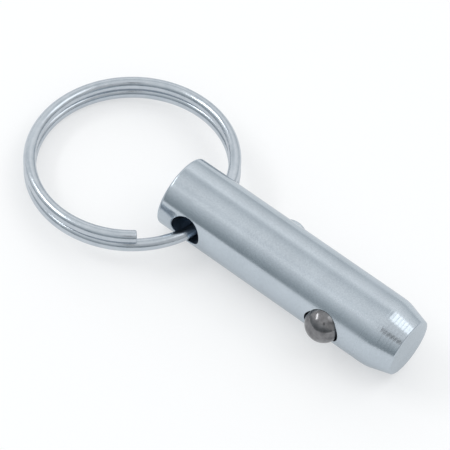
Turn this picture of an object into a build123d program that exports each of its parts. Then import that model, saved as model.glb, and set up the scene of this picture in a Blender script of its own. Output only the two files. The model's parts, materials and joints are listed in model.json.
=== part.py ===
from build123d import *
import os
from math import asin, atan2, cos, degrees, hypot, pi, radians, sin, sqrt

# A headless hitch pin that lies on its side, with a spring-loaded ball near its nose and a pull ring at its rear.
# The pin's axis is X: the ring is at -X, the nose at +X, and Z is up. The ball faces -Y.
# The origin is on the axis, half way along the body. All sizes are in millimetres.

# Shank and nose
PIN_DIAMETER = 19.05
REAR_TO_RING_HOLE = 8.75
RING_HOLE_TO_STOP = 20.3
STOP_TO_BALL = 22.1
BALL_TO_NOSE = 19.85
REAR_EDGE_RADIUS = 0.7
NOSE_TAPER_LENGTH = 6.5
NOSE_FACE_DIAMETER = 15.3
NOSE_SHOULDER_RADIUS = 10.0
NOSE_EDGE_RADIUS = 0.4

# Split ring: round wire, wound two turns one on top of the other
RING_INNER_DIAMETER = 48.25
RING_WIRE_DIAMETER = 3.175
RING_TURN_GAP = 0.1
RING_UPPER_END_PAST_MOUTH = 25.3
RING_LOWER_END_PAST_MOUTH = 6.0
CROSSING_POINTS = 9
RING_YAW = 2.0

# Ring hole: both turns could pass through it with this much play
RING_HOLE_PLAY = 1.3
RING_HOLE_CLEARANCE = 0.05
RING_HOLE_EDGE_RADIUS = 0.45
RING_FLOOR_CLEARANCE = 0.02

# Detent ball, held in its bore by a staked lip ahead of and behind it
BALL_DIAMETER = 9.525
BALL_PROTRUSION = 3.4
BALL_PRESSED_DEPTH = 0.05
BALL_RUNNING_CLEARANCE = 0.09
LIP_CLEARANCE = 0.05
LIP_SETBACK = 0.4
LIP_LAND = 0.15
MOUTH_FLARE = 0.22

# Compression spring with ground ends, between the ball and the flat floor of its bore
SPRING_OUTER_DIAMETER = 7.6
SPRING_WIRE_DIAMETER = 0.9
SPRING_TURNS = 5.5
SPRING_PRESSED_LENGTH = 6.4
SPRING_BALL_CLEARANCE = 0.03

# Stop stud with a domed end, pressed in from the side away from the ball
STOP_DIAMETER = 7.3
STOP_PROTRUSION = 1.6
STOP_DOME_RADIUS = 5.0
STOP_SEAT_DEPTH = 6.0
STOP_LEAD_CHAMFER = 0.4

# How far a cutting shape runs past the face that it cuts
OVERCUT = 2.0

# Stations along the axis
PIN_LENGTH = REAR_TO_RING_HOLE + RING_HOLE_TO_STOP + STOP_TO_BALL + BALL_TO_NOSE
REAR_X = -PIN_LENGTH / 2
NOSE_X = PIN_LENGTH / 2
RING_HOLE_X = REAR_X + REAR_TO_RING_HOLE
STOP_X = RING_HOLE_X + RING_HOLE_TO_STOP
BALL_X = STOP_X + STOP_TO_BALL
SHOULDER_X = NOSE_X - NOSE_TAPER_LENGTH

# Radii
PIN_RADIUS = PIN_DIAMETER / 2
BALL_RADIUS = BALL_DIAMETER / 2
STOP_RADIUS = STOP_DIAMETER / 2
RING_WIRE_RADIUS = RING_WIRE_DIAMETER / 2
RING_MEAN_RADIUS = RING_INNER_DIAMETER / 2 + RING_WIRE_RADIUS

# Ring in its hole: between the mouths the wire bows along the pin, and the yaw takes it further back at one mouth
RING_PITCH = RING_WIRE_DIAMETER + RING_TURN_GAP
MOUTH_ANGLE = degrees(asin(PIN_RADIUS / RING_MEAN_RADIUS))
WIRE_BOW = RING_MEAN_RADIUS * (1 - cos(radians(MOUTH_ANGLE)))
WIRE_REACH = (WIRE_BOW + PIN_RADIUS * sin(radians(RING_YAW))) / 2
LOWEST_WIRE_OFFSET = (RING_PITCH + RING_HOLE_PLAY) / 2
RING_HOLE_RADIUS = hypot(LOWEST_WIRE_OFFSET, WIRE_REACH) + RING_WIRE_RADIUS + RING_HOLE_CLEARANCE

# Ring at rest: the lower turn lies in the bottom of the hole, and its far side on the floor under the pin
FAR_WIRE_OFFSET = 2 * RING_MEAN_RADIUS - WIRE_REACH
RING_DROP = PIN_RADIUS - RING_WIRE_RADIUS - RING_FLOOR_CLEARANCE
RING_TILT = degrees(
    asin(RING_DROP / hypot(FAR_WIRE_OFFSET, LOWEST_WIRE_OFFSET)) - atan2(LOWEST_WIRE_OFFSET, FAR_WIRE_OFFSET)
)

# Ball and spring: distances from the pin's axis, positive away from the ball's side
BALL_Y = -(PIN_RADIUS + BALL_PROTRUSION - BALL_RADIUS)
BALL_TRAVEL = BALL_PROTRUSION + BALL_PRESSED_DEPTH
SPRING_RADIUS = (SPRING_OUTER_DIAMETER - SPRING_WIRE_DIAMETER) / 2
SPRING_INNER_RADIUS = SPRING_RADIUS - SPRING_WIRE_DIAMETER / 2
SPRING_TOP_Y = BALL_Y + sqrt(BALL_RADIUS**2 - SPRING_INNER_RADIUS**2) + SPRING_BALL_CLEARANCE
SPRING_LENGTH = SPRING_PRESSED_LENGTH + BALL_TRAVEL
BORE_FLOOR_Y = SPRING_TOP_Y + SPRING_LENGTH
BORE_RADIUS = BALL_RADIUS + BALL_RUNNING_CLEARANCE


def body_blank():
    """The turned bar: rounded rear edge, straight shank, blended taper and flat nose face."""
    outline = FilletPolyline(
        (REAR_X, 0),
        (REAR_X, PIN_RADIUS),
        (SHOULDER_X, PIN_RADIUS),
        (NOSE_X, NOSE_FACE_DIAMETER / 2),
        (NOSE_X, 0),
        radius=[REAR_EDGE_RADIUS, NOSE_SHOULDER_RADIUS, NOSE_EDGE_RADIUS],
    )
    axis_line = Line((NOSE_X, 0), (REAR_X, 0))
    bar = revolve(make_face(outline + axis_line), axis=Axis.X)
    return Rotation(-90, 0, 0) * bar


def ring_hole():
    """Straight drill right across the rear of the shank."""
    drill = Cylinder(RING_HOLE_RADIUS, PIN_DIAMETER + 2 * OVERCUT)
    return Pos(RING_HOLE_X, 0, 0) * Rotation(90, 0, 0) * drill


def ball_bore():
    """Blind flat-floored bore for ball and spring, with its staked lip and flared mouth, as one turned cutter."""
    lip_y = -PIN_RADIUS + LIP_SETBACK
    land_end_y = lip_y + LIP_LAND
    lip_radius = sqrt(BALL_RADIUS**2 - (BALL_Y - land_end_y) ** 2) + LIP_CLEARANCE
    mouth_radius = BORE_RADIUS + MOUTH_FLARE
    flare_slope = (mouth_radius - lip_radius) / LIP_SETBACK
    outer_y = -PIN_RADIUS - OVERCUT
    undercut_y = land_end_y + BORE_RADIUS - lip_radius
    section = Polyline(
        (0, outer_y),
        (mouth_radius + OVERCUT * flare_slope, outer_y),
        (lip_radius, lip_y),
        (lip_radius, land_end_y),
        (BORE_RADIUS, undercut_y),
        (BORE_RADIUS, BORE_FLOOR_Y),
        (0, BORE_FLOOR_Y),
        close=True,
    )
    return Pos(BALL_X, 0, 0) * revolve(make_face(section), axis=Axis.Y)


def stop_hole():
    """Blind hole that the stop stud is pressed into."""
    depth = STOP_SEAT_DEPTH + OVERCUT
    drill = extrude(Plane.XZ * Circle(STOP_RADIUS), depth)
    return Pos(STOP_X, PIN_RADIUS + OVERCUT, 0) * drill


def make_pin_body():
    """The shank with the ring hole broken smooth at both mouths, the ball's bore and the stop's hole."""
    body = body_blank() - ring_hole()
    rims = body.edges().filter_by(GeomType.LINE, reverse=True)
    reach = RING_HOLE_RADIUS + RING_HOLE_EDGE_RADIUS
    rims = rims.filter_by_position(Axis.X, RING_HOLE_X - reach, RING_HOLE_X + reach)
    body = fillet(rims, RING_HOLE_EDGE_RADIUS)
    return body - ball_bore() - stop_hole()


def make_detent_ball():
    """Ball resting against the lip."""
    return Pos(BALL_X, BALL_Y, 0) * Sphere(BALL_RADIUS)


def make_detent_spring():
    """Helical spring whose two ends are ground flat across the wire."""
    pitch = SPRING_LENGTH / SPRING_TURNS
    helix = Helix(pitch, SPRING_LENGTH, SPRING_RADIUS)
    wire_face = Plane(helix @ 0, z_dir=helix % 0) * Circle(SPRING_WIRE_DIAMETER / 2)
    coil = sweep(wire_face, path=helix, is_frenet=True)
    ground = Cylinder(SPRING_OUTER_DIAMETER, SPRING_LENGTH, align=(Align.CENTER, Align.CENTER, Align.MIN))
    return Pos(BALL_X, BORE_FLOOR_Y, 0) * Rotation(90, 0, 0) * (coil & ground)


def ring_point(angle, height):
    """Point on the wire's centre line, in the ring's own frame: angle 0 is in the hole, positive to the far side."""
    return Vector(
        RING_MEAN_RADIUS * cos(radians(angle)),
        RING_MEAN_RADIUS * sin(radians(angle)),
        height,
    )


def ring_turn(start_angle, sweep_angle, height):
    """Part of one flat turn of wire, from start_angle on round by sweep_angle degrees."""
    section = Plane.XZ * Pos(RING_MEAN_RADIUS, height) * Circle(RING_WIRE_RADIUS)
    turn = revolve(section, axis=Axis.Z, revolution_arc=sweep_angle)
    return Rotation(0, 0, start_angle) * turn


def ring_crossing():
    """The stretch inside the hole, where the wire steps from the lower turn up to the upper one."""
    points = []
    for step in range(CROSSING_POINTS):
        share = step / (CROSSING_POINTS - 1)
        angle = MOUTH_ANGLE * (2 * share - 1)
        points.append(ring_point(angle, -RING_PITCH / 2 * cos(pi * share)))
    start_tangent = Vector(sin(radians(MOUTH_ANGLE)), cos(radians(MOUTH_ANGLE)), 0)
    end_tangent = Vector(-sin(radians(MOUTH_ANGLE)), cos(radians(MOUTH_ANGLE)), 0)
    path = Spline(*points, tangents=[start_tangent, end_tangent])
    section = Plane(path @ 0, x_dir=(0, 0, 1), z_dir=start_tangent) * Circle(RING_WIRE_RADIUS)
    return sweep(section, path=path)


def make_split_ring():
    """Two stacked turns joined by the crossing, laid through the hole and down to the floor behind the pin."""
    upper_start = MOUTH_ANGLE
    upper_sweep = 360 - 2 * MOUTH_ANGLE - RING_UPPER_END_PAST_MOUTH
    lower_start = MOUTH_ANGLE + RING_LOWER_END_PAST_MOUTH
    lower_sweep = 360 - 2 * MOUTH_ANGLE - RING_LOWER_END_PAST_MOUTH
    upper = ring_turn(upper_start, upper_sweep, RING_PITCH / 2)
    lower = ring_turn(lower_start, lower_sweep, -RING_PITCH / 2)
    ring = upper + ring_crossing() + lower
    centre = Pos(WIRE_REACH - RING_MEAN_RADIUS, 0, RING_PITCH / 2 - LOWEST_WIRE_OFFSET)
    lie = Rotation(0, -RING_TILT, 0) * Rotation(0, 0, -RING_YAW)
    return Pos(RING_HOLE_X, 0, 0) * lie * centre * ring


def make_stop_stud():
    """Pressed stud with a chamfered lead and a domed outer end."""
    floor_y = PIN_RADIUS - STOP_SEAT_DEPTH
    tip_y = PIN_RADIUS + STOP_PROTRUSION
    edge_y = tip_y - STOP_DOME_RADIUS + sqrt(STOP_DOME_RADIUS**2 - STOP_RADIUS**2)
    sides = Polyline(
        (0, tip_y),
        (0, floor_y),
        (STOP_RADIUS - STOP_LEAD_CHAMFER, floor_y),
        (STOP_RADIUS, floor_y + STOP_LEAD_CHAMFER),
        (STOP_RADIUS, edge_y),
    )
    half_angle = degrees(asin(STOP_RADIUS / STOP_DOME_RADIUS))
    dome = CenterArc((0, tip_y - STOP_DOME_RADIUS), STOP_DOME_RADIUS, 90 - half_angle, half_angle)
    return Pos(STOP_X, 0, 0) * revolve(make_face(sides + dome), axis=Axis.Y)


def main():
    """Builds every piece and writes it under its node's name."""
    os.makedirs("parts", exist_ok=True)
    pieces = {
        "pin_body": make_pin_body(),
        "detent_ball": make_detent_ball(),
        "detent_spring": make_detent_spring(),
        "split_ring": make_split_ring(),
        "stop_stud": make_stop_stud(),
    }
    for name, shape in pieces.items():
        export_step(shape, f"parts/{name}.step")


main()
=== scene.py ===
"""Looks of a detent hitch pin: modelled pieces, finishes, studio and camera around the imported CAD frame.

The frame's axes hold throughout: +X towards the tapered nose, -Y towards the ball, +Z up. Sizes are in
millimetres, unless their names end in _m, _deg or _px. Everything handed to Blender is in metres.
"""

import json
import logging
from dataclasses import dataclass, field
from enum import Enum
from math import asin, atan2, ceil, copysign, cos, degrees, hypot, pi, radians, sin, sqrt, tan, tau

import bpy
from bpy.types import Material, NodeSocket, NodeTree, Object
from mathutils import Matrix, Vector


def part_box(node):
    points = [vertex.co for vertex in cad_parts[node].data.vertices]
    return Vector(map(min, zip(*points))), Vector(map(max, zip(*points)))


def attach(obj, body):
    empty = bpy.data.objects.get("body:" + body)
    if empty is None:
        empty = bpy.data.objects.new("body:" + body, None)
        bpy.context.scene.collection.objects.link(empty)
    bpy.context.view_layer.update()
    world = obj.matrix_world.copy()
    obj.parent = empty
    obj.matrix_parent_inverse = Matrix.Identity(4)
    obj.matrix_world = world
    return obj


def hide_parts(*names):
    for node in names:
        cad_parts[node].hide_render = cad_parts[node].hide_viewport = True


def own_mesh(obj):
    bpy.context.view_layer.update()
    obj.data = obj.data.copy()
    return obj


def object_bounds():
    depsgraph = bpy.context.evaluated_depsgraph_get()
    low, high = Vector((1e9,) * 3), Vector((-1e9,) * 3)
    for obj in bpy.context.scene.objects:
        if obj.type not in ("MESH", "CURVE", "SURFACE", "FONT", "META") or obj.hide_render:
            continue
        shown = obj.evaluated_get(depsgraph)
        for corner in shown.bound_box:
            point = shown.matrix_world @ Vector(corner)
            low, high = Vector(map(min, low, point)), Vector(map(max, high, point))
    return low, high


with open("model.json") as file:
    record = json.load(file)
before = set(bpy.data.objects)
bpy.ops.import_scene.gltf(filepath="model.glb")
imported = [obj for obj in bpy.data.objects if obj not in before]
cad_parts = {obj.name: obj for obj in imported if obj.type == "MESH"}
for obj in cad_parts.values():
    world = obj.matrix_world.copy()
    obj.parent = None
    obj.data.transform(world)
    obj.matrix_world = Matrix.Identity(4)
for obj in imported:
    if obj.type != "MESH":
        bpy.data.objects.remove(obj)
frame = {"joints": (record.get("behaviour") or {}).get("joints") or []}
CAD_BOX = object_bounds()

log = logging.getLogger("hitch_pin")

MM = 0.001
X_AXIS = Vector((1, 0, 0))
Y_AXIS = Vector((0, 1, 0))
Z_AXIS = Vector((0, 0, 1))
BEVEL_SEGMENTS = 3

# How near two corners are merged, after a shape is closed and where a mirrored half meets the other
MERGE_DISTANCE_MM = 0.0005
MIRROR_MERGE_MM = 0.01

# Nearly all values of a noise texture lie in this span
NOISE_SPAN = (0.3, 0.7)

# A wave texture turns through this many radians in each unit of its scaled coordinates
WAVE_RADIANS = 20.0

Outline = list[tuple[float, float]]
Colour = tuple[float, float, float, float]
Settings = dict[str | int, object]
Links = dict[str | int, NodeSocket]


class Body(Enum):
    """The bodies that pieces ride on."""

    PIN = "pin"
    BALL = "ball"
    RING = "ring"


class Node(Enum):
    """The CAD nodes."""

    SHANK = "pin_body"
    STOP = "stop_stud"
    BALL = "detent_ball"
    SPRING = "detent_spring"
    RING = "split_ring"


class Joint(Enum):
    """The joints."""

    BALL = "ball_slide"
    RING = "ring_swing"


class Slot(Enum):
    """The record's material slots."""

    PLATED = "plated_steel"
    HARD = "hard_steel"
    SPRING = "spring_steel"
    WIRE = "ring_wire"


# What the frame knows


def middle(node: Node) -> Vector:
    """The middle of a CAD node's box, in millimetres."""
    low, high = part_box(node.value)
    return (low + high) / 2 / MM


def joint_place(joint: Joint) -> Vector:
    """A point on a joint's axis, in millimetres."""
    row = next(row for row in frame["joints"] if row["name"] == joint.value)
    return Vector(row["pos_m"]) / MM


# Shader work


def linear(hex_colour: str) -> Colour:
    """Turns an sRGB colour into Blender's linear one.

    Args:
        hex_colour: Six hex digits after a hash sign.

    Returns:
        Red, green and blue as linear light, and an alpha of 1.
    """
    parts = [int(hex_colour[i : i + 2], 16) / 255 for i in (1, 3, 5)]
    light = [p / 12.92 if p <= 0.04045 else ((p + 0.055) / 1.055) ** 2.4 for p in parts]
    return (*light, 1.0)


def empty_tree(owner: bpy.types.ID) -> NodeTree:
    """Turns on the nodes of a material or a world, and clears them.

    Args:
        owner: The material or world.

    Returns:
        Its tree, with nothing in it.
    """
    owner.use_nodes = True
    owner.node_tree.nodes.clear()
    return owner.node_tree


def add_node(tree: NodeTree, kind: str, settings: Settings, links: Links) -> bpy.types.Node:
    """Adds one shader node.

    Args:
        tree: The tree that the node goes into.
        kind: The node's Blender type name without its ShaderNode.
        settings: Values by name, each for a property or, if the node has no such property, an input
            socket. A value by number is for an input socket.
        links: The output socket to plug into each input, by the input's name or number.

    Returns:
        The new node.
    """
    node = tree.nodes.new("ShaderNode" + kind)
    for name, value in settings.items():
        if isinstance(name, str) and hasattr(node, name):
            setattr(node, name, value)
        else:
            node.inputs[name].default_value = value
    for name, source in links.items():
        tree.links.new(source, node.inputs[name])
    return node


def set_stops(ramp: bpy.types.Node, stops: list[tuple[float, Colour]]) -> None:
    """Gives a colour ramp its stops.

    Args:
        ramp: The Color Ramp node.
        stops: Place from 0 to 1 and colour of each stop, in rising order.
    """
    elements = ramp.color_ramp.elements
    while len(elements) < len(stops):
        elements.new(1.0)
    for element, (place, colour) in zip(elements, stops):
        element.position = place
        element.color = colour


def per_metre(size_mm: float) -> float:
    """The scale of a noise texture on coordinates in metres whose features are size_mm across."""
    return 1 / (size_mm * MM)


def waves_per_metre(pitch_mm: float) -> float:
    """The scale of a wave texture on coordinates in metres whose crests are pitch_mm apart."""
    return per_metre(pitch_mm) * tau / WAVE_RADIANS


# Bench work: the few moves that every modelled piece is made with


def clear_selection() -> None:
    """Leaves edit mode and deselects every object."""
    if bpy.context.object and bpy.context.object.mode != "OBJECT":
        bpy.ops.object.mode_set(mode="OBJECT")
    bpy.ops.object.select_all(action="DESELECT")


def pick(piece: Object) -> None:
    """Makes a piece the only selected and the active object.

    Args:
        piece: The piece.
    """
    clear_selection()
    piece.select_set(True)
    bpy.context.view_layer.objects.active = piece


def start_line(name: str, place: Vector) -> Object:
    """Starts a new mesh with one selected vertex, left in edit mode.

    Args:
        name: The piece's name.
        place: Where the vertex is, in metres.

    Returns:
        The new object, with its origin at the world's.
    """
    clear_selection()
    bpy.ops.mesh.primitive_plane_add(size=MM, location=(0, 0, 0), enter_editmode=True)
    piece = bpy.context.object
    piece.name = piece.data.name = name
    bpy.ops.mesh.select_all(action="SELECT")
    bpy.ops.mesh.merge(type="CENTER")
    bpy.ops.transform.translate(value=place)
    return piece


def start_circle(name: str, sides: int, radius: float, place: Vector, turn: Vector) -> Object:
    """Starts a new mesh with one selected ring of edges, left in edit mode.

    Args:
        name: The piece's name.
        sides: How many edges it has.
        radius: Its radius in millimetres.
        place: Its centre in millimetres.
        turn: How far it is turned about X, Y and Z, in radians.

    Returns:
        The new object, with its origin at the world's.
    """
    clear_selection()
    bpy.ops.mesh.primitive_circle_add(
        vertices=sides, radius=radius * MM, location=place * MM, rotation=turn
    )
    piece = bpy.context.object
    piece.name = piece.data.name = name
    bpy.ops.object.transform_apply(location=True, rotation=True, scale=True)
    bpy.ops.object.mode_set(mode="EDIT")
    bpy.ops.mesh.select_all(action="SELECT")
    return piece


def close_surface() -> None:
    """Merges doubles in the mesh in edit mode, turns its faces outwards and leaves edit mode."""
    bpy.ops.mesh.select_all(action="SELECT")
    bpy.ops.mesh.remove_doubles(threshold=MERGE_DISTANCE_MM * MM)
    bpy.ops.mesh.normals_make_consistent(inside=False)
    bpy.ops.object.mode_set(mode="OBJECT")


def lathe(name: str, outline: Outline, foot: Vector, along: Vector, out: Vector, steps: int) -> Object:
    """Turns a half outline about a line.

    Args:
        name: The piece's name.
        outline: Points as distance along the line and radius, in millimetres.
        foot: The point of the line that the distances start from, in millimetres.
        along: The line's direction.
        out: A direction square to it, in which the radius counts.
        steps: How many flats go round.

    Returns:
        The turned piece, a closed surface.
    """
    points = [(foot + along * station + out * radius) * MM for station, radius in outline]
    piece = start_line(name, points[0])
    for here, there in zip(points, points[1:]):
        bpy.ops.mesh.extrude_vertices_move(TRANSFORM_OT_translate={"value": there - here})
    bpy.ops.mesh.select_all(action="SELECT")
    bpy.ops.mesh.spin(steps=steps, angle=tau, center=foot * MM, axis=along)
    close_surface()
    return piece


def set_down(piece: Object, placement: Matrix) -> None:
    """Moves a piece's mesh by a placement and leaves its origin at the world's.

    Args:
        piece: The piece.
        placement: The move, in metres.
    """
    pick(piece)
    piece.matrix_world = placement
    bpy.ops.object.transform_apply(location=True, rotation=True, scale=True)


def apply_modifier(piece: Object, kind: str, settings: dict[str, object]) -> None:
    """Puts one modifier on a piece and applies it.

    Args:
        piece: The piece.
        kind: The modifier's Blender type name.
        settings: Its properties by name.
    """
    pick(piece)
    bpy.ops.object.modifier_add(type=kind)
    modifier = piece.modifiers[-1]
    for name, value in settings.items():
        setattr(modifier, name, value)
    bpy.ops.object.modifier_apply(modifier=modifier.name)


def cut(piece: Object, cutter: Object) -> None:
    """Takes a cutter's shape out of a piece, with the cutter's finishes, and throws the cutter away.

    Args:
        piece: The piece to cut.
        cutter: The closed shape to take out.
    """
    settings = {"operation": "DIFFERENCE", "solver": "EXACT", "material_mode": "TRANSFER", "object": cutter}
    apply_modifier(piece, "BOOLEAN", settings)
    bpy.data.objects.remove(cutter, do_unlink=True)


def smooth_below(piece: Object, angle_deg: float) -> None:
    """Shades a piece smooth, except over edges sharper than angle_deg."""
    pick(piece)
    bpy.ops.object.shade_smooth_by_angle(angle=radians(angle_deg))


def arc(centre: tuple[float, float], radius: float, start_deg: float, end_deg: float, count: int) -> Outline:
    """Points along an arc, both ends included.

    Args:
        centre: The arc's centre.
        radius: Its radius.
        start_deg: Where it starts, in degrees from the first axis.
        end_deg: Where it ends.
        count: How many steps it has.

    Returns:
        The points, in the units of centre and radius.
    """
    turn = [radians(start_deg + (end_deg - start_deg) * i / count) for i in range(count + 1)]
    return [(centre[0] + radius * cos(t), centre[1] + radius * sin(t)) for t in turn]


def run(start: tuple[float, float], end: tuple[float, float], spacing: float) -> Outline:
    """Points along a straight run, without its two ends.

    Args:
        start: The run's first end.
        end: Its other end.
        spacing: The widest gap allowed between points.

    Returns:
        The points between the ends.
    """
    count = max(1, ceil(hypot(end[0] - start[0], end[1] - start[1]) / spacing))
    shares = [i / count for i in range(1, count)]
    return [(start[0] + (end[0] - start[0]) * s, start[1] + (end[1] - start[1]) * s) for s in shares]


# Finishes


@dataclass(frozen=True)
class BrightZinc:
    """Bright zinc plating over turned steel.

    The zinc gives a cool blue-grey sheen with a fine speckle, and the turning marks under it smear each
    reflection along the bar. Wear has dulled the rear edge, and the bar towards the nose more than the
    taper, where the tool's ridges still shine. The end faces have faint rings from facing. Speckle, marks,
    rings and grit are drawn coarser than the real ones, so that they show.
    """

    name: str = "bright_zinc_plating"
    colour: str = "#C0C9D1"
    cloud_colour: str = "#B7C0C8"
    grazing_tint: str = "#EBEDEE"
    cloud_mm: float = 9.0
    speckle_mm: float = 0.4
    tone_stops: tuple[float, float] = (0.38, 0.62)
    roughness: float = 0.15
    roughness_spread: float = 0.04
    # Places along the pin, and how much rougher wear has made it there
    wear: tuple[tuple[float, float], ...] = (
        (-35.5, 0.3),
        (-34.7, 0.0),
        (-25.0, 0.0),
        (25.0, 0.11),
        (29.0, 0.055),
        (35.5, 0.055),
    )
    anisotropy: float = 0.5
    # A quarter turn, so that reflections are smeared along the bar and not round it
    smear_turn: float = 0.25
    mark_pitch_mm: float = 0.35
    mark_depth_mm: float = 0.0004
    mark_wander: float = 2.0
    facing_pitch_mm: float = 0.5
    facing_depth_mm: float = 0.0012
    facing_wander: float = 0.4
    grit_mm: float = 0.5
    grit_depth_mm: float = 0.0006

    def tone(self, tree: NodeTree, place: NodeSocket, clouds: NodeSocket) -> NodeSocket:
        """Mixes slow clouds and a fine speckle into the plating's colour.

        Args:
            tree: The material's nodes.
            place: The object's own coordinates.
            clouds: The slow noise.

        Returns:
            The colour.
        """
        speckle = add_node(
            tree, "TexNoise", {"Scale": per_metre(self.speckle_mm), "Detail": 1.0}, {"Vector": place}
        )
        mixed = add_node(tree, "Mix", {}, {"A": clouds, "B": speckle.outputs["Fac"]})
        colour = add_node(tree, "ValToRGB", {}, {"Fac": mixed.outputs["Result"]})
        cloudy, clear = self.tone_stops
        set_stops(colour, [(cloudy, linear(self.cloud_colour)), (clear, linear(self.colour))])
        return colour.outputs["Color"]

    def gloss(self, tree: NodeTree, place: NodeSocket, clouds: NodeSocket) -> NodeSocket:
        """Varies the roughness with the clouds, and adds the wear along the pin.

        Args:
            tree: The material's nodes.
            place: The object's own coordinates.
            clouds: The slow noise.

        Returns:
            The roughness.
        """
        shine = add_node(
            tree,
            "MapRange",
            {
                "From Min": NOISE_SPAN[0],
                "From Max": NOISE_SPAN[1],
                "To Min": self.roughness,
                "To Max": self.roughness + self.roughness_spread,
            },
            {"Value": clouds},
        )
        rear, nose = self.wear[0][0], self.wear[-1][0]
        along = add_node(tree, "SeparateXYZ", {}, {"Vector": place})
        span = {"From Min": rear * MM, "From Max": nose * MM}
        share = add_node(tree, "MapRange", span, {"Value": along.outputs["X"]})
        wear = add_node(tree, "ValToRGB", {}, {"Fac": share.outputs["Result"]})
        set_stops(wear, [((x - rear) / (nose - rear), (dull, dull, dull, 1.0)) for x, dull in self.wear])
        dulled = add_node(
            tree, "Math", {"operation": "ADD"}, {0: shine.outputs["Result"], 1: wear.outputs["Color"]}
        )
        return dulled.outputs["Value"]

    def relief(self, tree: NodeTree, place: NodeSocket) -> NodeSocket:
        """Lays the turning marks, the facing rings and the grit over each other.

        Args:
            tree: The material's nodes.
            place: The object's own coordinates.

        Returns:
            The bumped normal.
        """
        marks = add_node(
            tree,
            "TexWave",
            {
                "wave_type": "BANDS",
                "bands_direction": "X",
                "Scale": waves_per_metre(self.mark_pitch_mm),
                "Distortion": self.mark_wander,
                "Detail": 3.0,
            },
            {"Vector": place},
        )
        rings = add_node(
            tree,
            "TexWave",
            {
                "wave_type": "RINGS",
                "rings_direction": "X",
                "Scale": waves_per_metre(self.facing_pitch_mm),
                "Distortion": self.facing_wander,
            },
            {"Vector": place},
        )
        grit = add_node(
            tree, "TexNoise", {"Scale": per_metre(self.grit_mm), "Detail": 2.0}, {"Vector": place}
        )
        layers = ((marks, self.mark_depth_mm), (rings, self.facing_depth_mm), (grit, self.grit_depth_mm))
        below: Links = {}
        for layer, depth_mm in layers:
            links = {"Height": layer.outputs["Fac"], **below}
            bump = add_node(tree, "Bump", {"Distance": depth_mm * MM}, links)
            below = {"Normal": bump.outputs["Normal"]}
        return below["Normal"]

    def make(self) -> Material:
        """Builds the finish.

        Returns:
            The material.
        """
        material = bpy.data.materials.new(self.name)
        tree = empty_tree(material)
        place = add_node(tree, "TexCoord", {}, {}).outputs["Object"]
        noise = add_node(
            tree, "TexNoise", {"Scale": per_metre(self.cloud_mm), "Detail": 3.0}, {"Vector": place}
        )
        clouds = noise.outputs["Fac"]
        around = add_node(tree, "Tangent", {"direction_type": "RADIAL", "axis": "X"}, {})
        shader = add_node(
            tree,
            "BsdfPrincipled",
            {
                "Metallic": 1.0,
                "Anisotropic": self.anisotropy,
                "Anisotropic Rotation": self.smear_turn,
                "Specular Tint": linear(self.grazing_tint),
            },
            {
                "Base Color": self.tone(tree, place, clouds),
                "Roughness": self.gloss(tree, place, clouds),
                "Normal": self.relief(tree, place),
                "Tangent": around.outputs["Tangent"],
            },
        )
        add_node(tree, "OutputMaterial", {}, {"Surface": shader.outputs["BSDF"]})
        return material


@dataclass(frozen=True)
class BoredSteel:
    """Drilled and bored steel that the plating hardly reaches.

    Its walls are dull and patchy with faint rings from the drill, which makes a hole look deep. A much
    darker and a little glossier copy lines the ball's bore: painted shade for the shade in the gap round the
    ball.
    """

    name: str
    colour: str
    shade: str
    roughness: float = 0.4
    patch_mm: float = 1.5
    tone_stops: tuple[float, float] = (0.35, 0.65)
    mark_pitch_mm: float = 0.3
    mark_depth_mm: float = 0.003
    mark_wander: float = 1.5

    def make(self) -> Material:
        """Builds the finish.

        Returns:
            The material.
        """
        material = bpy.data.materials.new(self.name)
        tree = empty_tree(material)
        place = add_node(tree, "TexCoord", {}, {}).outputs["Object"]
        patches = add_node(
            tree, "TexNoise", {"Scale": per_metre(self.patch_mm), "Detail": 3.0}, {"Vector": place}
        )
        colour = add_node(tree, "ValToRGB", {}, {"Fac": patches.outputs["Fac"]})
        shaded, clear = self.tone_stops
        set_stops(colour, [(shaded, linear(self.shade)), (clear, linear(self.colour))])
        marks = add_node(
            tree,
            "TexWave",
            {
                "wave_type": "BANDS",
                "bands_direction": "Y",
                "Scale": waves_per_metre(self.mark_pitch_mm),
                "Distortion": self.mark_wander,
            },
            {"Vector": place},
        )
        drilled = add_node(
            tree, "Bump", {"Distance": self.mark_depth_mm * MM}, {"Height": marks.outputs["Fac"]}
        )
        shader = add_node(
            tree,
            "BsdfPrincipled",
            {"Metallic": 1.0, "Roughness": self.roughness},
            {"Base Color": colour.outputs["Color"], "Normal": drilled.outputs["Normal"]},
        )
        add_node(tree, "OutputMaterial", {}, {"Surface": shader.outputs["BSDF"]})
        return material


@dataclass(frozen=True)
class SmoothSteel:
    """What the polished and the drawn finish share: soft patches of a darker shade and another gloss."""

    name: str
    colour: str
    shade: str
    colour_roughness: float
    shade_roughness: float
    patch_mm: float
    patch_grain: float = 0.5
    tone_stops: tuple[float, float] = (0.35, 0.65)

    def make(self) -> Material:
        """Builds the finish.

        Returns:
            The material.
        """
        material = bpy.data.materials.new(self.name)
        tree = empty_tree(material)
        place = add_node(tree, "TexCoord", {}, {}).outputs["Object"]
        patches = add_node(
            tree,
            "TexNoise",
            {"Scale": per_metre(self.patch_mm), "Detail": 4.0, "Roughness": self.patch_grain},
            {"Vector": place},
        )
        colour = add_node(tree, "ValToRGB", {}, {"Fac": patches.outputs["Fac"]})
        shaded, clear = self.tone_stops
        set_stops(colour, [(shaded, linear(self.shade)), (clear, linear(self.colour))])
        shine = add_node(
            tree,
            "MapRange",
            {
                "From Min": NOISE_SPAN[0],
                "From Max": NOISE_SPAN[1],
                "To Min": self.shade_roughness,
                "To Max": self.colour_roughness,
            },
            {"Value": patches.outputs["Fac"]},
        )
        surface = {"Base Color": colour.outputs["Color"], "Roughness": shine.outputs["Result"]}
        shader = add_node(tree, "BsdfPrincipled", {"Metallic": 1.0}, surface)
        add_node(tree, "OutputMaterial", {}, {"Surface": shader.outputs["BSDF"]})
        return material


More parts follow.
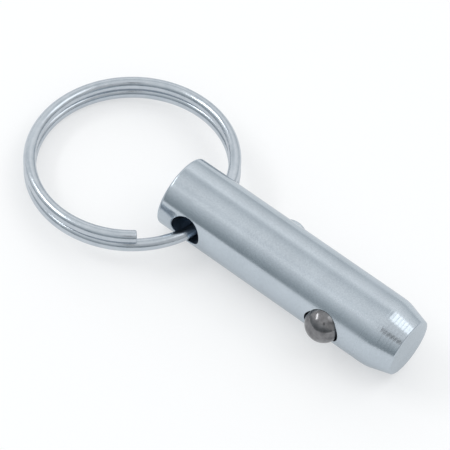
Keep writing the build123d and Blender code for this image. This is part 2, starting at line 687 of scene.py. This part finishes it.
@dataclass(frozen=True)
class PolishedSteel(SmoothSteel):
    """Chromium bearing steel, hardened, ground and polished.

    It mirrors the studio in a dark neutral grey with one sharp highlight, and a faint tarnish dulls it in
    patches.
    """

    name: str = "bearing_steel"
    colour: str = "#8D8D8F"
    shade: str = "#6D6D6F"
    colour_roughness: float = 0.15
    shade_roughness: float = 0.22
    patch_mm: float = 1.6
    patch_grain: float = 0.6
    tone_stops: tuple[float, float] = (0.35, 0.7)


@dataclass(frozen=True)
class DrawnWire(SmoothSteel):
    """Cold drawn steel wire, bare or plated.

    The die leaves it smooth, so it carries long clear reflections, broken a little by patches of uneven
    gloss.
    """

    patch_mm: float = 2.5


@dataclass(frozen=True)
class MattPaper:
    """Matt white paper, the studio's floor.

    It scatters light evenly, so it mirrors nothing and shows only the object's soft shadow. The camera and
    the metal's reflections see it lifted to nearly white. The light that it scatters isn't raised.
    """

    name: str = "matt_paper_sweep"
    colour: str = "#C2C3C4"
    lift_colour: str = "#FFFFFF"
    lift: float = 0.46

    def make(self) -> Material:
        """Builds the finish.

        Returns:
            The material.
        """
        material = bpy.data.materials.new(self.name)
        tree = empty_tree(material)
        paper = add_node(tree, "BsdfDiffuse", {"Color": linear(self.colour)}, {})
        ray = add_node(tree, "LightPath", {}, {})
        either = {"operation": "MAXIMUM"}
        direct = {0: ray.outputs["Is Camera Ray"], 1: ray.outputs["Is Glossy Ray"]}
        seen = add_node(tree, "Math", either, direct)
        through = {0: seen.outputs["Value"], 1: ray.outputs["Is Transmission Ray"]}
        shown = add_node(tree, "Math", either, through)
        raised = {"operation": "MULTIPLY", 1: self.lift}
        lift = add_node(tree, "Math", raised, {0: shown.outputs["Value"]})
        colour = {"Color": linear(self.lift_colour)}
        glow = add_node(tree, "Emission", colour, {"Strength": lift.outputs["Value"]})
        both = add_node(tree, "AddShader", {}, {0: paper.outputs["BSDF"], 1: glow.outputs["Emission"]})
        add_node(tree, "OutputMaterial", {}, {"Surface": both.outputs["Shader"]})
        return material


def dress(piece: Object, material: Material) -> None:
    """Puts one finish on the whole of a piece.

    Args:
        piece: The piece, cutter or floor.
        material: The finish.
    """
    if not piece.material_slots:
        piece.data.materials.append(material)
    for place in piece.material_slots:
        place.material = material


def fit_piece(piece: Object, body: Body, node: Node) -> None:
    """Puts a modelled piece on its body in place of its CAD node.

    Args:
        piece: The modelled piece.
        body: The body that it rides on.
        node: The CAD node that it stands for.
    """
    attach(piece, body.value)
    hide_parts(node.value)


# The pin's pieces


@dataclass
class Shank:
    """The turned and drilled pin: shank, ridged taper, ring hole, ball bore and stop seat."""

    finish: Material
    bore_finish: Material
    # The ball's bore gets a darker finish: painted shade for the gap round the ball
    ball_bore_painted_shade: Material
    ring_hole_radius: float = 4.1675
    ring_hole_edge: float = 0.45
    # The mouth's rounding stops a little short of level, which is 90, just under the surface
    ring_hole_edge_end_deg: float = 100.0
    # Past this share of the hole's radius, its mouth is plated
    ring_hole_wall_share: float = 1.002
    rear_edge: float = 0.7
    taper_length: float = 6.5
    nose_face_radius: float = 7.65
    shoulder_radius: float = 10.0
    nose_edge: float = 0.4
    ridge_pitch: float = 0.92
    ridge_depth: float = 0.02
    # How much the ridges differ in depth, and how fast that changes from one to the next, in radians
    ridge_unevenness: float = 0.25
    ridge_beat: float = 2.4
    bore_radius: float = 4.8525
    bore_floor_y: float = 5.4953
    lip_radius: float = 4.742
    lip_setback: float = 0.4
    lip_land: float = 0.15
    mouth_radius: float = 5.0725
    seat_radius: float = 3.66
    seat_depth: float = 6.0
    overcut: float = 2.0
    loop_spacing: float = 1.5
    points_per_ridge: int = 12
    shoulder_steps: int = 24
    nose_edge_steps: int = 6
    rear_edge_steps: int = 12
    ring_hole_edge_steps: int = 10
    steps: int = 192
    mouth_steps: int = 96
    sharp_above_deg: float = 20.0
    rear_x: float = field(init=False)
    nose_x: float = field(init=False)
    radius: float = field(init=False)
    ring_hole_x: float = field(init=False)

    def __post_init__(self) -> None:
        """Reads the places that the frame already knows."""
        low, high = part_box(Node.SHANK.value)
        self.rear_x, self.nose_x = low.x / MM, high.x / MM
        self.radius = high.y / MM
        self.ring_hole_x = joint_place(Joint.RING).x

    def taper_outline(self) -> Outline:
        """Draws the blended shoulder, the taper with the tool's ridges in it, and the nose's broken edge.

        Returns:
            Points as place along the pin and radius.
        """
        slope = atan2(self.radius - self.nose_face_radius, self.taper_length)
        shoulder_x = self.nose_x - self.taper_length - self.shoulder_radius * tan(slope / 2)
        shoulder_centre = (shoulder_x, self.radius - self.shoulder_radius)
        blend_end = 90 - degrees(slope)
        shoulder = arc(shoulder_centre, self.shoulder_radius, 90, blend_end, self.shoulder_steps)
        edge_y = self.nose_face_radius - self.nose_edge * tan((pi / 2 - slope) / 2)
        edge_centre = (self.nose_x - self.nose_edge, edge_y)
        edge = arc(edge_centre, self.nose_edge, blend_end, 0, self.nose_edge_steps)
        ridged = []
        for x, y in shoulder + run(shoulder[-1], edge[0], self.ridge_pitch / self.points_per_ridge):
            ridge, along = divmod((x - shoulder_x) / self.ridge_pitch, 1)
            share = 1 + self.ridge_unevenness * sin(self.ridge_beat * ridge)
            depth = self.ridge_depth * share * (1 - (2 * along - 1) ** 2)
            ridged.append((x - depth * sin(slope), y - depth * cos(slope)))
        return ridged + edge

    def outline(self) -> Outline:
        """Draws half of the shank's section, from the middle of the rear face to the nose face's.

        Returns:
            Points as place along the pin and radius.
        """
        rear_middle, nose_middle = (self.rear_x, 0.0), (self.nose_x, 0.0)
        rear_centre = (self.rear_x + self.rear_edge, self.radius - self.rear_edge)
        rear = arc(rear_centre, self.rear_edge, 180, 90, self.rear_edge_steps)
        nose = self.taper_outline()
        rear_face = run(rear_middle, rear[0], self.loop_spacing)
        straight = run(rear[-1], nose[0], self.loop_spacing)
        nose_face = run(nose[-1], nose_middle, self.loop_spacing)
        return [rear_middle] + rear_face + rear + straight + nose + nose_face + [nose_middle]

    def ring_hole_cutter(self) -> Object:
        """Makes a drill whose ends flare along the shank's surface, which breaks both mouths smooth.

        Returns:
            The closed cutter, plated where it flares.
        """
        centre = Vector((self.ring_hole_x, 0, 0))
        across = Vector((pi / 2, 0, 0))
        edge, radius = self.ring_hole_edge, self.ring_hole_radius
        cutter = start_circle("ring_hole_cutter", self.mouth_steps, radius, centre, across)
        edge_centre = (radius + edge, self.radius - edge)
        flare = arc(edge_centre, edge, 180, self.ring_hole_edge_end_deg, self.ring_hole_edge_steps)
        here = (radius, 0.0)
        for there in flare + [(flare[-1][0], self.radius + self.overcut)]:
            outwards = (0, (here[1] - there[1]) * MM, 0)
            bpy.ops.mesh.extrude_edges_move(TRANSFORM_OT_translate={"value": outwards})
            widen = there[0] / here[0]
            bpy.ops.transform.resize(value=(widen, 1, widen), center_override=centre * MM)
            here = there
        bpy.ops.mesh.edge_face_add()
        bpy.ops.object.mode_set(mode="OBJECT")
        mirror = {"use_axis": (False, True, False), "merge_threshold": MIRROR_MERGE_MM * MM}
        apply_modifier(cutter, "MIRROR", mirror)
        self.follow_surface(cutter)
        bpy.ops.object.mode_set(mode="EDIT")
        close_surface()
        dress(cutter, self.bore_finish)
        cutter.data.materials.append(self.finish)
        wall = radius * self.ring_hole_wall_share * MM
        for face in cutter.data.polygons:
            face.material_index = int(hypot(face.center.x - centre.x * MM, face.center.z) > wall)
        return cutter

    def follow_surface(self, cutter: Object) -> None:
        """Sinks a cutter's flat mouths on to the round shank, and leaves its middle where it is.

        Args:
            cutter: The cutter, whose mouths lie in planes square to Y.
        """
        radius = self.radius * MM
        for corner in cutter.data.vertices:
            if abs(corner.co.y) > MM:
                corner.co.y -= copysign(radius - sqrt(radius**2 - corner.co.z**2), corner.co.y)

    def bore_cutter(self) -> Object:
        """Makes a cutter for the ball's bore with its flared mouth, staked lip and flat floor.

        Returns:
            The closed cutter.
        """
        lip = self.radius - self.lip_setback
        flare = (self.mouth_radius - self.lip_radius) / self.lip_setback
        land_end = lip - self.lip_land
        outline = [
            (self.radius + self.overcut, 0.0),
            (self.radius + self.overcut, self.mouth_radius + self.overcut * flare),
            (lip, self.lip_radius),
            (land_end, self.lip_radius),
            (land_end - self.bore_radius + self.lip_radius, self.bore_radius),
            (-self.bore_floor_y, self.bore_radius),
            (-self.bore_floor_y, 0.0),
        ]
        foot = Vector((middle(Node.BALL).x, 0, 0))
        cutter = lathe("bore_cutter", outline, foot, -Y_AXIS, X_AXIS, self.mouth_steps)
        # The bore's walls are dark: painted shade for the deep gap round the ball
        dress(cutter, self.ball_bore_painted_shade)
        return cutter

    def seat_cutter(self) -> Object:
        """Makes a cutter for the blind hole that the stop stud is pressed into.

        Returns:
            The closed cutter.
        """
        outer, floor = self.radius + self.overcut, self.radius - self.seat_depth
        outline = [(outer, 0.0), (outer, self.seat_radius), (floor, self.seat_radius), (floor, 0.0)]
        foot = Vector((middle(Node.STOP).x, 0, 0))
        cutter = lathe("seat_cutter", outline, foot, Y_AXIS, X_AXIS, self.mouth_steps)
        dress(cutter, self.bore_finish)
        return cutter

    def build(self) -> Object:
        """Turns the bar, then drills it.

        Returns:
            The finished piece.
        """
        piece = lathe("shank", self.outline(), Vector((0, 0, 0)), X_AXIS, Y_AXIS, self.steps)
        dress(piece, self.finish)
        for cutter in (self.ring_hole_cutter(), self.bore_cutter(), self.seat_cutter()):
            cut(piece, cutter)
        smooth_below(piece, self.sharp_above_deg)
        fit_piece(piece, Body.PIN, Node.SHANK)
        return piece


@dataclass
class StopStud:
    """The domed stud pressed into the side away from the ball."""

    finish: Material
    dome_radius: float = 5.0
    lead_chamfer: float = 0.4
    rim_bevel: float = 0.12
    bevel_above_deg: float = 40.0
    loop_spacing: float = 1.0
    steps: int = 72
    dome_steps: int = 14
    sharp_above_deg: float = 30.0

    def build(self) -> Object:
        """Turns the stud about its own axis.

        Returns:
            The finished piece.
        """
        low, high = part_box(Node.STOP.value)
        radius, floor, tip = (high.z - low.z) / 2 / MM, low.y / MM, high.y / MM
        half_angle = degrees(asin(radius / self.dome_radius))
        dome = arc((tip - self.dome_radius, 0.0), self.dome_radius, half_angle, 0, self.dome_steps)
        sides = [(floor, 0.0), (floor, radius - self.lead_chamfer), (floor + self.lead_chamfer, radius)]
        outline = sides + run(sides[-1], dome[0], self.loop_spacing) + dome
        foot = Vector((middle(Node.STOP).x, 0, 0))
        piece = lathe("stop_dome", outline, foot, Y_AXIS, X_AXIS, self.steps)
        bevel = {
            "width": self.rim_bevel * MM,
            "segments": BEVEL_SEGMENTS,
            "limit_method": "ANGLE",
            "angle_limit": radians(self.bevel_above_deg),
        }
        apply_modifier(piece, "BEVEL", bevel)
        smooth_below(piece, self.sharp_above_deg)
        dress(piece, self.finish)
        fit_piece(piece, Body.PIN, Node.STOP)
        return piece


@dataclass
class DetentBall:
    """The ground steel ball that the spring holds against its lip."""

    finish: Material
    steps: int = 96
    sharp_above_deg: float = 180.0

    def build(self) -> Object:
        """Turns the ball about the bore's axis.

        Returns:
            The finished piece.
        """
        low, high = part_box(Node.BALL.value)
        radius = (high.z - low.z) / 2 / MM
        outline = arc((0, 0), radius, 180, 0, self.steps // 2)
        piece = lathe("ball", outline, middle(Node.BALL), Y_AXIS, X_AXIS, self.steps)
        smooth_below(piece, self.sharp_above_deg)
        dress(piece, self.finish)
        fit_piece(piece, Body.BALL, Node.BALL)
        return piece


@dataclass
class DetentSpring:
    """The compression spring behind the ball, its two ends ground flat."""

    finish: Material
    wire_diameter: float = 0.9
    turns: float = 5.5
    pressed_length: float = 6.4
    sides: int = 20
    steps_per_half_turn: int = 28
    sharp_above_deg: float = 40.0

    def build(self) -> Object:
        """Winds the wire up from the bore's floor, grinds both ends and stands it in the bore.

        Returns:
            The finished piece.
        """
        low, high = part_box(Node.SPRING.value)
        length, floor_y = (high.y - low.y) / MM, high.y / MM
        coil_radius = ((high.z - low.z) / MM - self.wire_diameter) / 2
        pitch = length / self.turns
        lead = atan2(pitch, tau * coil_radius)
        start, section = Vector((coil_radius, 0, 0)), Vector((pi / 2 + lead, 0, 0))
        piece = start_circle("spring", self.sides, self.wire_diameter / 2, start, section)
        bpy.ops.object.mode_set(mode="OBJECT")
        half_turns = {
            "axis": "Z",
            "angle": pi,
            "screw_offset": pitch / 2 * MM,
            "iterations": round(self.turns * 2),
            "steps": self.steps_per_half_turn,
            "render_steps": self.steps_per_half_turn,
        }
        apply_modifier(piece, "SCREW", half_turns)
        bpy.ops.object.mode_set(mode="EDIT")
        bpy.ops.mesh.select_all(action="SELECT")
        bpy.ops.mesh.fill_holes(sides=0)
        for height, ends in ((0.0, {"clear_inner": True}), (length * MM, {"clear_outer": True})):
            bpy.ops.mesh.select_all(action="SELECT")
            bpy.ops.mesh.bisect(plane_co=(0, 0, height), plane_no=(0, 0, 1), use_fill=True, **ends)
        close_surface()
        seat = Vector((middle(Node.BALL).x, floor_y, 0)) * MM
        set_down(piece, Matrix.Translation(seat) @ Matrix.Rotation(pi / 2, 4, "X"))
        smooth_below(piece, self.sharp_above_deg)
        dress(piece, self.finish)
        fit_piece(piece, Body.PIN, Node.SPRING)
        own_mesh(piece)
        return piece


@dataclass
class SplitRing:
    """The pull ring: two turns of wire, joined by the crossing inside the pin's hole."""

    finish: Material
    inner_diameter: float = 48.25
    wire_diameter: float = 3.175
    turn_gap: float = 0.1
    upper_end_past_mouth_deg: float = 25.3
    lower_end_past_mouth_deg: float = 6.0
    yaw_deg: float = 2.0
    hole_play: float = 1.3
    floor_clearance: float = 0.02
    end_bevel: float = 0.3
    sides: int = 36
    step_deg: float = 2.5
    crossing_steps: int = 16
    sharp_above_deg: float = 35.0
    mean_radius: float = field(init=False)
    pitch: float = field(init=False)
    mouth_deg: float = field(init=False)
    reach: float = field(init=False)
    lowest: float = field(init=False)
    tilt: float = field(init=False)

    def __post_init__(self) -> None:
        """Works out how the ring lies, as the source does."""
        pin_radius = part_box(Node.SHANK.value)[1].y / MM
        wire_radius = self.wire_diameter / 2
        self.mean_radius = self.inner_diameter / 2 + wire_radius
        self.pitch = self.wire_diameter + self.turn_gap
        mouth = asin(pin_radius / self.mean_radius)
        self.mouth_deg = degrees(mouth)
        self.reach = (self.mean_radius * (1 - cos(mouth)) + pin_radius * sin(radians(self.yaw_deg))) / 2
        self.lowest = (self.pitch + self.hole_play) / 2
        far = 2 * self.mean_radius - self.reach
        drop = pin_radius - wire_radius - self.floor_clearance
        self.tilt = asin(drop / hypot(far, self.lowest)) - atan2(self.lowest, far)

    def lie(self) -> Matrix:
        """Works out where the ring lies: through the hole, and down to the floor behind the pin.

        Returns:
            The move from the world's origin, in metres.
        """
        hole = Matrix.Translation(joint_place(Joint.RING) * MM)
        turn = Matrix.Rotation(-self.tilt, 4, "Y") @ Matrix.Rotation(-radians(self.yaw_deg), 4, "Z")
        centre = Vector((self.reach - self.mean_radius, 0, self.pitch / 2 - self.lowest))
        return hole @ turn @ Matrix.Translation(centre * MM)

    def wind(self, sweep_deg: float, steps: int) -> None:
        """Carries the selected section on round the ring.

        Args:
            sweep_deg: How far it goes.
            steps: How many sections the way is divided into.
        """
        bpy.ops.mesh.spin(steps=steps, angle=radians(sweep_deg), center=(0, 0, 0), axis=-Z_AXIS)

    def build(self) -> Object:
        """Winds the lower turn, the crossing and the upper turn, and trims both ends.

        Returns:
            The finished piece.
        """
        start_deg = self.mouth_deg + self.lower_end_past_mouth_deg
        start = Vector((cos(radians(start_deg)), sin(radians(start_deg)), 0)) * self.mean_radius
        start.z = -self.pitch / 2
        section = Vector((pi / 2, 0, radians(start_deg)))
        piece = start_circle("pull_ring", self.sides, self.wire_diameter / 2, start, section)
        lower = 360 - self.mouth_deg - start_deg
        self.wind(lower, ceil(lower / self.step_deg))
        for step in range(self.crossing_steps):
            rise = cos(pi * step / self.crossing_steps) - cos(pi * (step + 1) / self.crossing_steps)
            self.wind(2 * self.mouth_deg / self.crossing_steps, 1)
            bpy.ops.transform.translate(value=(0, 0, self.pitch / 2 * rise * MM))
        upper = 360 - 2 * self.mouth_deg - self.upper_end_past_mouth_deg
        self.wind(upper, ceil(upper / self.step_deg))
        bpy.ops.mesh.select_all(action="SELECT")
        bpy.ops.mesh.fill_holes(sides=0)
        # Only the two cut ends have more than four sides
        bpy.ops.mesh.select_all(action="DESELECT")
        bpy.ops.mesh.select_face_by_sides(number=4, type="GREATER")
        bpy.ops.mesh.bevel(offset=self.end_bevel * MM, segments=BEVEL_SEGMENTS, affect="EDGES")
        close_surface()
        set_down(piece, self.lie())
        smooth_below(piece, self.sharp_above_deg)
        dress(piece, self.finish)
        fit_piece(piece, Body.RING, Node.RING)
        return piece


# Camera and studio


@dataclass(frozen=True)
class Viewpoint:
    """Where the photograph was taken from."""

    azimuth_deg: float = 29.67
    elevation_deg: float = 52.82
    roll_deg: float = 10.33
    distance_mm: float = 900.94
    right_mm: float = -16.73
    up_mm: float = 10.64
    pixels_per_mm: float = 4.072
    picture_side_px: float = 450.0
    sensor_mm: float = 36.0

    def back(self) -> Vector:
        """The direction from the pin to the camera."""
        a, e = radians(self.azimuth_deg), radians(self.elevation_deg)
        return Vector((sin(a) * cos(e), -cos(a) * cos(e), sin(e)))

    def turn(self) -> Matrix:
        """Works out how the camera is turned.

        Returns:
            Its right, its up and the way back from the pin, as columns.
        """
        a, r = radians(self.azimuth_deg), radians(self.roll_deg)
        back = self.back()
        level = Vector((cos(a), sin(a), 0))
        rising = back.cross(level)
        right = level * cos(r) + rising * sin(r)
        up = rising * cos(r) - level * sin(r)
        return Matrix((right, up, back)).transposed()

    def place_camera(self) -> None:
        """Makes the camera and points it."""
        camera = bpy.data.objects.new("camera", bpy.data.cameras.new("camera"))
        bpy.context.scene.collection.objects.link(camera)
        camera.data.sensor_width = self.sensor_mm
        camera.data.lens = self.pixels_per_mm * self.distance_mm / self.picture_side_px * self.sensor_mm
        turn = self.turn()
        place = turn @ Vector((self.right_mm, self.up_mm, self.distance_mm)) * MM
        camera.matrix_world = Matrix.Translation(place) @ turn.to_4x4()
        bpy.context.scene.camera = camera


@dataclass(frozen=True)
class SoftLight:
    """One flat soft lamp that faces the pin, with its width along the pin before it is rolled."""

    name: str
    towards: tuple[float, float, float]
    width_deg: float
    height_deg: float
    radiance: float
    roll_deg: float = 0.0
    distance_m: float = 1.2

    def place(self) -> None:
        """Hangs the lamp."""
        data = bpy.data.lights.new(self.name, "AREA")
        data.shape = "RECTANGLE"
        data.size = 2 * self.distance_m * tan(radians(self.width_deg / 2))
        data.size_y = 2 * self.distance_m * tan(radians(self.height_deg / 2))
        data.energy = self.radiance * pi * data.size * data.size_y
        lamp = bpy.data.objects.new(self.name, data)
        bpy.context.scene.collection.objects.link(lamp)
        back = Vector(self.towards).normalized()
        across = (X_AXIS - back * back.x).normalized()
        turn = Matrix((across, back.cross(across), back)).transposed().to_4x4()
        turn = turn @ Matrix.Rotation(radians(self.roll_deg), 4, "Z")
        lamp.matrix_world = Matrix.Translation(back * self.distance_m) @ turn


KEY_LAMP = SoftLight(
    "key_lamp", towards=(0.42, 0.36, 0.83), width_deg=31.0, height_deg=31.0, radiance=1.15
)
SIDE_LAMP = SoftLight(
    "side_lamp", towards=(-0.68, -0.25, 0.69), width_deg=7.0, height_deg=34.0, radiance=6.2, roll_deg=30.0
)


@dataclass
class Studio:
    """Pale floor, and a white tent that is dimmer low down on the ball's side and past the nose."""

    viewpoint: Viewpoint
    floor_finish: Material
    floor_side_m: float = 3.0
    lamps: tuple[SoftLight, ...] = (KEY_LAMP, SIDE_LAMP)
    # Angles about the pin's axis, in degrees up from the ball's side, and how bright the tent is there
    tent: tuple[tuple[float, float], ...] = (
        (-180.0, 0.80),
        (-20.0, 0.80),
        (-3.0, 0.34),
        (7.0, 0.38),
        (20.0, 0.50),
        (38.0, 0.74),
        (56.0, 0.98),
        (62.0, 0.94),
        (68.0, 0.89),
        (80.0, 0.98),
        (98.0, 0.90),
        (112.0, 0.74),
        (120.0, 0.84),
        (129.0, 1.14),
        (148.0, 0.98),
        (163.0, 0.84),
        (175.0, 0.70),
    )
    coolness: float = 0.15
    # How far a direction leans to the nose, from 0 to 1, where the tent begins to dim and where it stops
    nose_end: tuple[float, float] = (0.3, 0.6)
    nose_end_light: float = 0.7
    camera_spot_deg: tuple[float, float] = (5.0, 9.0)
    camera_spot_rim: tuple[float, float] = (0.8, 1.2)
    camera_spot_light: float = 0.02

    def build(self) -> None:
        """Sets up the floor, the tent and the lamps, and shows colours as they are written."""
        bpy.context.scene.view_settings.view_transform = "Standard"
        self.make_floor()
        self.make_tent()
        for lamp in self.lamps:
            lamp.place()

    def shade(self, light: float) -> Colour:
        """The tent's colour where it is this bright: white, and a little bluer the darker it is."""
        cool = self.coolness * max(0.0, 1 - light)
        return (light * (1 - cool), light, light * (1 + cool / 2), 1.0)

    def make_floor(self) -> None:
        """Lays the floor under the lowest point of the pin."""
        clear_selection()
        bpy.ops.mesh.primitive_plane_add(size=self.floor_side_m, location=(0, 0, CAD_BOX[0].z))
        floor = bpy.context.object
        floor.name = "floor"
        dress(floor, self.floor_finish)

    def make_tent(self) -> None:
        """Paints the world as the white tent, by the angle about the pin and the lean to the nose."""
        world = bpy.data.worlds.new("white_tent")
        bpy.context.scene.world = world
        tree = empty_tree(world)
        towards = add_node(tree, "TexCoord", {}, {}).outputs["Generated"]
        split = add_node(tree, "SeparateXYZ", {}, {"Vector": towards})
        dims = {0: self.camera_spot(tree, towards), 1: self.dim_nose_end(tree, split.outputs["X"])}
        strength = add_node(tree, "Math", {"operation": "MULTIPLY"}, dims)
        background = add_node(
            tree,
            "Background",
            {},
            {
                "Color": self.shade_around(tree, split.outputs["Y"], split.outputs["Z"]),
                "Strength": strength.outputs["Value"],
            },
        )
        add_node(tree, "OutputWorld", {}, {"Surface": background.outputs["Background"]})

    def shade_around(self, tree: NodeTree, far_side: NodeSocket, up: NodeSocket) -> NodeSocket:
        """Shades the tent by the angle about the pin's axis.

        Args:
            tree: The world's nodes.
            far_side: How far a direction leans away from the ball's side.
            up: How far it leans upwards.

        Returns:
            The tent's colour.
        """
        ball_side = add_node(tree, "Math", {"operation": "MULTIPLY", 1: -1.0}, {0: far_side})
        angle = add_node(tree, "Math", {"operation": "ARCTAN2"}, {0: up, 1: ball_side.outputs["Value"]})
        span = {"From Min": -pi, "From Max": pi}
        share = add_node(tree, "MapRange", span, {"Value": angle.outputs["Value"]})
        ramp = add_node(tree, "ValToRGB", {}, {"Fac": share.outputs["Result"]})
        set_stops(ramp, [((degree + 180) / 360, self.shade(light)) for degree, light in self.tent])
        return ramp.outputs["Color"]

    def camera_spot(self, tree: NodeTree, towards: NodeSocket) -> NodeSocket:
        """Darkens the tent where the camera looks in, over an oval with a soft rim.

        Args:
            tree: The world's nodes.
            towards: The direction that is looked in.

        Returns:
            The share of the tent's light that is left.
        """
        wide, tall = self.camera_spot_deg
        facing = add_node(
            tree,
            "Mapping",
            {
                "vector_type": "TEXTURE",
                "Rotation": self.viewpoint.turn().to_euler(),
                "Scale": (sin(radians(wide)), sin(radians(tall)), 1.0),
            },
            {"Vector": towards},
        )
        apart = add_node(
            tree, "VectorMath", {"operation": "DISTANCE", 1: Z_AXIS}, {0: facing.outputs["Vector"]}
        )
        rim = add_node(
            tree,
            "MapRange",
            {
                "interpolation_type": "SMOOTHSTEP",
                "From Min": self.camera_spot_rim[0],
                "From Max": self.camera_spot_rim[1],
                "To Min": self.camera_spot_light,
                "To Max": 1.0,
            },
            {"Value": apart.outputs["Value"]},
        )
        return rim.outputs["Result"]

    def dim_nose_end(self, tree: NodeTree, lean: NodeSocket) -> NodeSocket:
        """Dims the tent past the nose.

        Args:
            tree: The world's nodes.
            lean: How far a direction leans towards the nose.

        Returns:
            The share of the tent's light that is left.
        """
        end = add_node(
            tree,
            "MapRange",
            {
                "interpolation_type": "SMOOTHSTEP",
                "From Min": self.nose_end[0],
                "From Max": self.nose_end[1],
                "To Min": 1.0,
                "To Max": self.nose_end_light,
            },
            {"Value": lean},
        )
        return end.outputs["Result"]


def main() -> None:
    """Makes the finishes, builds and reports each piece, and sets up the studio and the camera."""
    logging.basicConfig(level=logging.INFO, format="%(name)s: %(message)s")
    zinc = BrightZinc().make()
    bored = BoredSteel("bored_steel", colour="#93A4B5", shade="#728396").make()
    # A much darker bored steel for the ball's bore: painted shade, standing for the shade in the gap round
    # the ball
    painted_shade_bore = BoredSteel("bored_steel_painted_shade", colour="#3A4048", shade="#23272D", roughness=0.3).make()
    music_wire = DrawnWire(
        "music_wire", colour="#6A6A6C", shade="#565658", colour_roughness=0.38, shade_roughness=0.3
    ).make()
    zinc_wire = DrawnWire(
        "bright_zinc_wire", colour="#C3CAD1", shade="#B9C1C9", colour_roughness=0.26, shade_roughness=0.18
    ).make()
    parts = (
        Shank(zinc, bored, painted_shade_bore),
        StopStud(zinc),
        DetentBall(PolishedSteel().make()),
        DetentSpring(music_wire),
        SplitRing(zinc_wire),
    )
    for part in parts:
        piece = part.build()
        log.info("%s: %d faces", piece.name, len(piece.data.polygons))
    viewpoint = Viewpoint()
    Studio(viewpoint, MattPaper().make()).build()
    viewpoint.place_camera()


if __name__ == "__main__":
    main()
